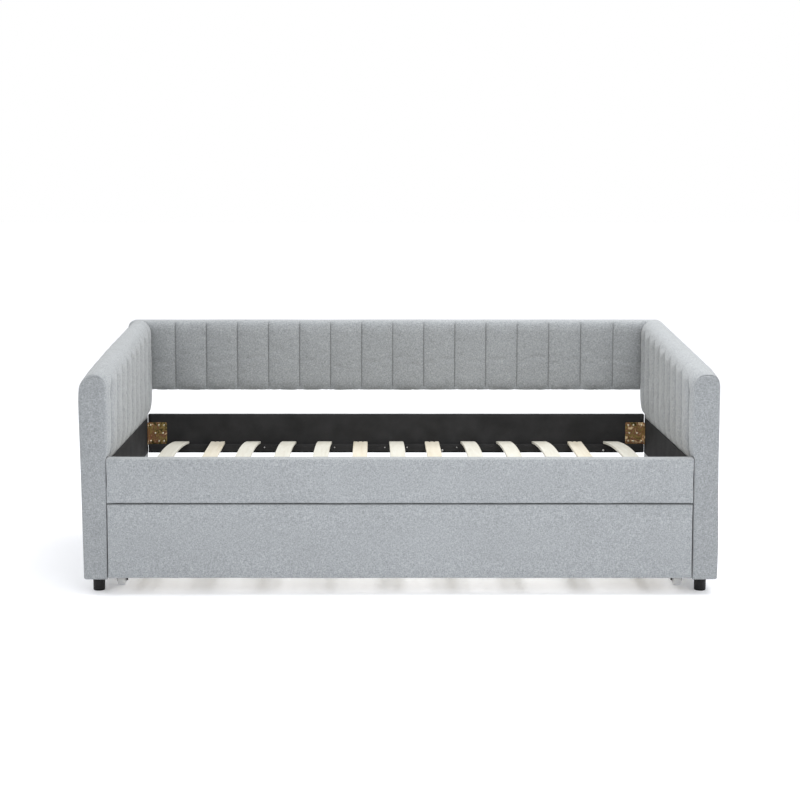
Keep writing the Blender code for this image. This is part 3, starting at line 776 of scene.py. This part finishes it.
def wrapped_board(name, node, finish, slot, seed, radius=0.0022, slack=0.0005, swell=0.0, corner=0.0):
    """Cloth drawn round a board and along its length: soft edges, slight slack and, where it
    is a cover, a shallow swelling inside its stitched border, with painted shade along that border."""
    low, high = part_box(node)
    along = 0 if high.x - low.x > high.y - low.y else 1
    across = 1 - along
    ends = [0.0, 0.3 * radius, radius, 2.2 * radius]
    ends += [corner * share for share in (0.15, 0.3, 0.5, 0.75) if corner]
    tip = max(0.006, corner)
    inner = np.linspace(low[along] + tip, high[along] - tip, 200 if along == 0 else 110)
    places = np.concatenate([[low[along] + e for e in ends], inner, [high[along] - e for e in ends[::-1]]])
    round_edge = min(radius, 0.45 * (high[across] - low[across]))
    rings, seams_and_shades = [], []
    for place in places:
        from_end = min(place - low[along], high[along] - place)
        over = max(0.0, radius - from_end)
        shrink = 0.45 * (radius - math.sqrt(max(0.0, radius ** 2 - over ** 2)))
        drop = corner - math.sqrt(max(0.0, corner ** 2 - max(0.0, corner - from_end) ** 2))
        depth, height = box_section((low[across] + shrink, high[across] - shrink),
                                    (low.z + shrink, high.z - shrink - drop), (round_edge,) * 4, 30)
        from_edge = np.minimum(np.minimum(height - low.z, high.z - height), from_end)
        rear = smooth_step(depth, high[across] - 0.002, high[across])
        depth = depth + swell * rear * smooth_step(from_edge, 0.010, 0.055)
        # Painted shade along the crease inside a cover's stitched border.
        seams_and_shades.append(0.8 * (swell > 0) * rear * np.exp(-((from_edge - 0.010) / 0.0016) ** 2))
        ring = np.zeros((len(depth), 3))
        ring[:, along], ring[:, across], ring[:, 2] = place, depth, height
        rings.append(ring)
    rings = np.array(rings)
    rings += ring_normals(rings) * (slack * ripple(rings, 0.09, seed) - slack)[..., None]
    points, faces = skin(rings)
    make_piece(name, points, faces, finish, slot, replaces=[node], seam_and_shade=np.array(seams_and_shades))


def build_wraps(materials):
    """The black lining cloth and the plain grey covers behind the bed."""
    lining, grey = materials["lining"], materials["upholstery"]
    for seed, label in ((41, "left"), (42, "right")):
        wrapped_board(f"{label}_arm_lining_cloth", f"{label}_arm_lining", lining, "black_lining", seed)
    wrapped_board("back_rail_wrap", "back_rail_board", lining, "black_lining", 45,
                  radius=0.0035, slack=0.0004)
    wrapped_board("rear_cleat_wrap", "rear_cleat", lining, "black_lining", 47)
    wrapped_board("back_rail_rear_cover", "back_rail_cover", grey, "grey_upholstery", 49, swell=0.0015)
    wrapped_board("back_panel_backing", "back_panel_rear_cover", grey, "grey_upholstery", 51, radius=0.0009,
                  slack=0.0003, swell=0.0022, corner=0.026)


def rear_staples(finish):
    """Staples along the border of the back panel's rear cover."""
    low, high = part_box("back_panel_rear_cover")
    y = high.y
    spots = [(x, z, True) for z in (low.z + 0.005, high.z - 0.005)
             for x in np.arange(low.x + 0.03, high.x - 0.02, 0.0605)]
    spots += [(x, z, False) for x in (low.x + 0.005, high.x - 0.005)
              for z in np.arange(low.z + 0.03, high.z - 0.035, 0.0565)]
    profile = [(-1.0, -0.0004), (-0.93, 0.0006), (-0.6, 0.0009),
               (0.6, 0.0009), (0.93, 0.0006), (1.0, -0.0004)]
    shapes = []
    for x, z, flat in spots:
        wide, tall = (0.0048, 0.00045) if flat else (0.00045, 0.0048)
        points, faces = [], []
        for share, rise in profile:
            for sign in (-1, 1):
                for drop in (0.0, 0.0005):
                    dx, dz = (share * wide, sign * tall) if flat else (sign * wide, share * tall)
                    points.append((x + dx, y + rise - drop, z + dz))
        for i in range(len(profile) - 1):
            a, b = 4 * i, 4 * i + 4
            faces += [(a, a + 2, b + 2, b), (a + 1, b + 1, b + 3, a + 3),
                      (a, b, b + 1, a + 1), (a + 2, a + 3, b + 3, b + 2)]
        last = 4 * len(profile) - 4
        faces += [(0, 1, 3, 2), (last, last + 2, last + 3, last + 1)]
        shapes.append((points, faces))
    points, faces = gather(shapes)
    make_piece("back_panel_staples", points, faces, finish, "zinc_steel")


# ---- small parts

CORNERS = [(place, side, label) for place in ("front", "rear")
           for side, label in ((-1, "left"), (1, "right"))]


def turned_faces(rows, steps):
    """Faces between rows of a turned piece; a row of one point is a pole."""
    faces, start = [], 0
    starts = []
    for count in rows:
        starts.append(start)
        start += count
    for (a, count_a), (b, count_b) in zip(zip(starts, rows), zip(starts[1:], rows[1:])):
        for i in range(steps):
            j = (i + 1) % steps
            face = [a + i % count_a, a + j % count_a, b + j % count_b, b + i % count_b]
            faces.append(list(dict.fromkeys(face)))
    return faces


def turned_shape(outline, centre, axis, steps=48, closed=False):
    """Points and faces of a turned shape from (distance along its axis, radius) pairs."""
    axis = np.array(axis, float)
    side = np.cross(axis, (0.0, 0.0, 1.0) if abs(axis[2]) < 0.9 else (1.0, 0.0, 0.0))
    side /= np.linalg.norm(side)
    up = np.cross(axis, side)
    points, rows = [], []
    for along, radius in outline + (outline[:1] if closed else []):
        count = steps if radius > 0 else 1
        rows.append(count)
        for i in range(count):
            turn = 2 * math.pi * i / steps
            spoke = side * math.cos(turn) + up * math.sin(turn)
            points.append(np.array(centre) + axis * along + radius * spoke)
    faces = turned_faces(rows, steps)
    if closed:
        last = len(points) - steps
        points = points[:last]
        faces = [[i if i < last else i - last for i in face] for face in faces]
    return points, faces


def gather(shapes):
    """Several shapes as one list of points and faces."""
    points, faces = [], []
    for shape_points, shape_faces in shapes:
        start = len(points)
        points += list(shape_points)
        faces += [[start + i for i in face] for face in shape_faces]
    return points, faces


def screw_head(centre, normal, radius=0.0036, height=0.0018):
    """A pan head with a round recess in its crown."""
    turn = np.linspace(0, math.pi / 2, 6)
    outline = [(-0.0002, 0.0), (-0.0002, radius)]
    outline += [(height * math.sin(t), radius * (0.35 + 0.65 * math.cos(t))) for t in turn[1:]]
    outline += [(height * 0.62, radius * 0.24), (height * 0.55, 0.0)]
    return turned_shape(outline, centre, normal, steps=20)


def sharpen(piece, degrees=35):
    piece.data.set_sharp_from_angle(angle=math.radians(degrees))
    return piece


def slat_shape(node, arch):
    """A slat with rounded edges: bent upwards, or straight."""
    low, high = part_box(node)
    thickness = high.z - low.z - arch
    rings = []
    length = high.y - low.y
    for share in np.concatenate([[0.0, 0.0015, 0.004], np.linspace(0.01, 0.99, 45), [0.996, 0.9985, 1.0]]):
        from_end = min(share, 1 - share) * length
        shrink = 0.003 - math.sqrt(max(0.0, 0.003 ** 2 - max(0.0, 0.003 - from_end) ** 2))
        rise = arch * 4 * share * (1 - share)
        x, z = box_section((low.x + shrink, high.x - shrink), (low.z + rise + 0.3 * shrink,
                           low.z + rise + thickness - 0.3 * shrink), (0.0024,) * 4, 6)
        rings.append(np.stack([x, np.full(len(x), low.y + length * share), z], axis=-1))
    return skin(np.array(rings))


def build_slats(materials):
    """The bent slats are veneer, and the four straight ones are solid and stapled down."""
    for number in range(1, 14):
        node = f"bed_slat_{number:02d}"
        low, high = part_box(node)
        arch = max(0.0, high.z - low.z - 0.010)
        finish = materials["veneer" if arch else "solid"]
        points, faces = slat_shape(node, arch)
        sharpen(make_piece(f"{node}_bent" if arch else f"{node}_straight", points, faces, finish,
                           "slat_wood", replaces=[node]), 50)
        if not arch:
            middle = (low.x + high.x) / 2
            spots = [(middle + x, y) for y in (low.y + 0.009, high.y - 0.009) for x in (-0.009, 0.009)]
            points, faces = gather([screw_head((x, y, high.z), (0, 0, 1), 0.0036, 0.0032) for x, y in spots])
            make_piece(f"{node}_pins", points, faces, materials["black"], "black_plastic")


def build_plates(materials):
    for place, side, label in CORNERS:
        inward = 1 if place == "front" else -1
        node = f"{place}_{label}_corner_plate"
        low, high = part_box(node)
        frame["nodes"][node].data.materials.clear()
        frame["nodes"][node].data.materials.append(materials["bronze"])
        face = (low.y if inward > 0 else high.y) + inward * 0.0022
        inner = low.x if side > 0 else high.x
        columns = [inner + side * 0.0118, inner + side * 0.0315, inner + side * (high.x - low.x - 0.0085)]
        levels = [low.z + 0.011, (low.z + high.z) / 2, high.z - 0.011]
        spots = [(x, face, z) for z in (levels[0], levels[2]) for x in columns]
        spots += [(columns[0] + side * 0.004, face, levels[1]), (inner + side * 0.0456, face, levels[1])]
        heads = [screw_head(spot, (0, inward, 0), 0.0040) for spot in spots]
        leg = (high.x if side > 0 else low.x) - side * 0.0022
        for z in (levels[0], levels[2]):
            heads.append(screw_head((leg, (low.y + high.y) / 2 + inward * 0.004, z), (-side, 0, 0)))
        points, faces = gather(heads)
        make_piece(f"{node}_screws", points, faces, materials["screws"], "bronze_plate")


def build_feet(finish):
    for place, _, label in CORNERS:
        node = f"{place}_{label}_foot"
        low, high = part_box(node)
        centre = ((low.x + high.x) / 2, (low.y + high.y) / 2, 0.0)
        radius = (high.x - low.x) / 2
        outline = [(0.0008, 0.0), (0.0008, radius - 0.006), (0.0, radius - 0.005), (0.0, radius - 0.0028),
                   (0.0007, radius - 0.0013), (0.0022, radius - 0.0006), (0.0050, radius - 0.0004),
                   (0.0058, radius - 0.0011), (0.0066, radius - 0.0004), (0.043, radius - 0.0002),
                   (0.0445, radius), (0.0505, radius), (0.0515, radius - 0.0006), (0.052, radius - 0.002),
                   (0.052, 0.0)]
        points, faces = turned_shape(outline, centre, (0, 0, 1), steps=64)
        sharpen(make_piece(f"{node}_glide", points, faces, finish, "black_plastic", replaces=[node]))


def build_wheels(materials):
    for place, side, label in CORNERS:
        node = f"{place}_{label}_wheel"
        low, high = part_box(node)
        centre = ((low.x + high.x) / 2, (low.y + high.y) / 2, (low.z + high.z) / 2)
        half, radius = (high.x - low.x) / 2, (high.z - low.z) / 2
        bore = 0.0034
        side_line = [(half - 0.0012, bore), (half - 0.0002, bore + 0.0010), (half - 0.0002, 0.0075),
                     (half - 0.0022, 0.0085), (half - 0.0022, radius - 0.0050), (half, radius - 0.0042),
                     (half - 0.0004, radius - 0.0022), (half - 0.0016, radius - 0.0007),
                     (half - 0.0040, radius)]
        outline = [(-along, r) for along, r in side_line] + side_line[::-1]
        points, faces = turned_shape(outline, centre, (1, 0, 0), steps=72, closed=True)
        sharpen(make_piece(f"{node}_tread", points, faces, materials["clear"], "clear_plastic",
                           body=node, replaces=[node]))
        nut_end = centre[0] - side * (half + 0.0062)
        cap = [(-0.0036, 0.0), (-0.0036, 0.0052), (0.0004, 0.0050), (0.0018, 0.0042), (0.0024, 0.0024),
               (0.0026, 0.0)]
        points, faces = turned_shape(cap, (nut_end, centre[1], centre[2]), (-side, 0, 0), steps=32)
        sharpen(make_piece(f"{node}_axle_cap", points, faces, materials["black"], "black_plastic",
                           body="trundle"))


def build_forks(finish):
    """Folded steel forks: a flat roof with rolled shoulders, and legs that narrow round the axle."""
    for place, side, label in CORNERS:
        node = f"{place}_{label}_wheel_fork"
        wheel_low, wheel_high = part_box(f"{place}_{label}_wheel")
        x = (wheel_low.x + wheel_high.x) / 2
        y, z = (wheel_low.y + wheel_high.y) / 2, (wheel_low.z + wheel_high.z) / 2
        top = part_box(node)[1].z
        inside = (wheel_high.x - wheel_low.x) / 2 + 0.0015
        thick, bend = 0.0020, 0.0030
        turn = np.linspace(0, math.pi / 2, 6)
        outer = [(inside + thick - bend * (1 - math.cos(t)), top - bend * (1 - math.sin(t)))
                 for t in turn]
        inner = [(inside - 0.0012 * (1 - math.cos(t)), top - thick - 0.0012 * (1 - math.sin(t)))
                 for t in turn]
        heights = z - 0.0085 + (top - bend - 0.0005 - z + 0.0085) * np.linspace(0, 1, 12)
        half_line = [(inside + thick, inside, h) for h in heights]
        half_line += [(o[0], i[0], (o[1], i[1])) for o, i in zip(outer, inner)]
        sheets = []
        for wide, narrow, height in half_line + [(-a, -b, h) for a, b, h in half_line[::-1]]:
            high_edge, low_edge = height if isinstance(height, tuple) else (height, height)
            reach = 0.017 if high_edge > z + 0.012 else max(
                math.sqrt(max(0.0, 0.0086 ** 2 - min(0.0, high_edge - z) ** 2)), 0.0022)
            if z <= high_edge <= z + 0.012:
                reach = 0.0086 + (0.017 - 0.0086) * smooth_step(high_edge, z, z + 0.012)
            sheets.append([(wide, -reach, high_edge), (wide, reach, high_edge),
                           (narrow, reach, low_edge), (narrow, -reach, low_edge)])
        points = [(x + dx, y + dy, dz) for ring in sheets for dx, dy, dz in ring]
        faces = [(0, 1, 2, 3)]
        for ring in range(len(sheets) - 1):
            for i in range(4):
                j = (i + 1) % 4
                faces.append((4 * ring + i, 4 * ring + 4 + i, 4 * ring + 4 + j, 4 * ring + j))
        last = 4 * (len(sheets) - 1)
        faces.append((last + 3, last + 2, last + 1, last))
        tip = inside + 0.0035
        axle = turned_shape([(-tip, 0.0), (-tip, 0.0030), (tip, 0.0030), (tip, 0.0)],
                            (x, y, z), (1, 0, 0), steps=24)
        dome = [(0.0, 0.0), (0.0, 0.0045), (0.0010, 0.0042), (0.0020, 0.0028), (0.0022, 0.0)]
        head = turned_shape(dome, (x + side * (inside + thick - 0.0002), y, z), (side, 0, 0), steps=24)
        points, faces = gather([(points, faces), axle, head])
        sharpen(make_piece(f"{node}_plate", points, faces, finish, "zinc_steel", body="trundle",
                           replaces=[node]))


def trundle_screws(finish):
    """Two countersunk screws at each end of every trundle slat."""
    shapes = []
    for number in range(1, 10):
        low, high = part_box(f"trundle_slat_{number}")
        for x in (low.x + 0.018, high.x - 0.018):
            for y in (low.y + 0.010, high.y - 0.010):
                shapes.append(screw_head((x, y, high.z), (0, 0, 1), 0.0036, 0.0009))
    points, faces = gather(shapes)
    make_piece("trundle_slat_screws", points, faces, finish, "zinc_steel", body="trundle")


def cleat_screws(finish):
    """Screws through the rear cleat into the back rail, between the slats."""
    low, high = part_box("rear_cleat")
    level = (low.z + high.z) / 2
    spots = [(x, level + 0.003, 0.0026) for x in (-0.509, -0.238, -0.044, 0.042, 0.234)]
    spots += [(x, level - 0.008, 0.0040) for x in (0.178, 0.800)]
    points, faces = gather([screw_head((x, low.y, z), (0, -1, 0), radius, 0.0016) for x, z, radius in spots])
    make_piece("rear_cleat_screws", points, faces, finish, "zinc_steel")


def paint_boards(materials):
    """The pieces that keep their CAD shape: bare timber takes a grain along its length."""
    slots = {row["node"]: row["material_slot"] for row in frame["record"]["subparts"]}
    plain = {"black_lining": "lining", "zinc_steel": "zinc", "grey_upholstery": "upholstery"}
    lengthways = ("trundle_left_rail", "trundle_right_rail", "left_arm_core", "right_arm_core")
    for name, node in frame["nodes"].items():
        if name.startswith("trundle_slat_"):
            finish = materials["veneer"]
        elif slots[name] == "board_wood":
            finish = materials["boards"][1 if name in lengthways else 0]
        elif slots[name] in plain:
            finish = materials[plain[slots[name]]]
        else:
            continue
        node.data.materials.clear()
        node.data.materials.append(finish)


def lay_floor():
    mesh = bpy.data.meshes.new("floor")
    size = 40.0
    mesh.from_pydata([(-size, -size, 0), (size, -size, 0), (size, size, 0), (-size, size, 0)], [],
                     [(0, 1, 2, 3)])
    s = Surface("studio_floor", 0.9, Specular_IOR_Level=0.1, Emission_Color=(1.0, 1.0, 1.0, 1.0),
                Emission_Strength=0.17)
    mottle = s.noise((3.0, 3.0, 3.0), 3.0)
    mesh.materials.append(s.finish(s.ramp(mottle, (0.3, (0.84, 0.85, 0.88)), (0.7, (0.86, 0.87, 0.90)))))
    floor = bpy.data.objects.new("floor", mesh)
    floor.location.z = CAD_LOW.z - 0.0002
    scene.collection.objects.link(floor)


def main():
    place_camera()
    light_studio()
    materials = make_materials()
    grey = materials["upholstery"]
    arm_cover(-1, "left", grey, seed=3)
    arm_cover(1, "right", grey, seed=5)
    back_cover(grey)
    rail_cover("front_rail_cover", "front_rail_upholstery", grey, seed=31, body="bed",
               grow=(0.0013, 0.0004, 0.0009, 0.0))
    rail_cover("trundle_front_cover", "trundle_front_upholstery", grey, seed=37, body="trundle",
               grow=(0.0013, 0.0004, 0.0, 0.0010))
    build_slats(materials)
    build_plates(materials)
    build_feet(materials["black"])
    build_wheels(materials)
    build_forks(materials["zinc"])
    build_wraps(materials)
    rear_staples(materials["zinc"])
    trundle_screws(materials["zinc"])
    cleat_screws(materials["zinc"])
    paint_boards(materials)
    lay_floor()


main()
